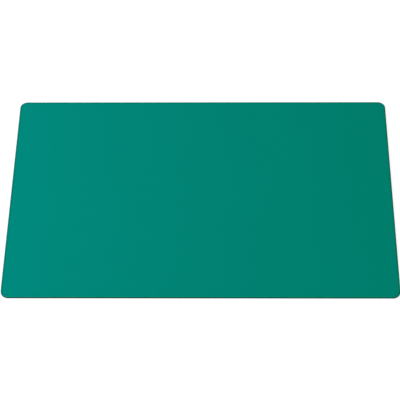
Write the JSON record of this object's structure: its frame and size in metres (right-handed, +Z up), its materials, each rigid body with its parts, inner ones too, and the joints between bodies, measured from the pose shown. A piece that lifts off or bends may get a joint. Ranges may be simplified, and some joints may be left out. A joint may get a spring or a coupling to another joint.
{
  "type": "cutting mat",
  "caption": "Thin flat rectangular sheet of plain teal-green vinyl with rounded corners and softened edges, laid on a table as a surface to cut on.",
  "frame": {"origin": "middle of the underside, on the surface that the mat lies on", "axes": "+X along the long side, +Y along the short side, away from the edge nearest the camera, +Z up out of the cutting surface"},
  "size_m": [0.45, 0.3, 0.003],
  "materials": {
    "green_vinyl": "satin"
  },
  "bodies": {
    "root": {"mat_sheet": "green_vinyl"}
  },
  "joints": []
}
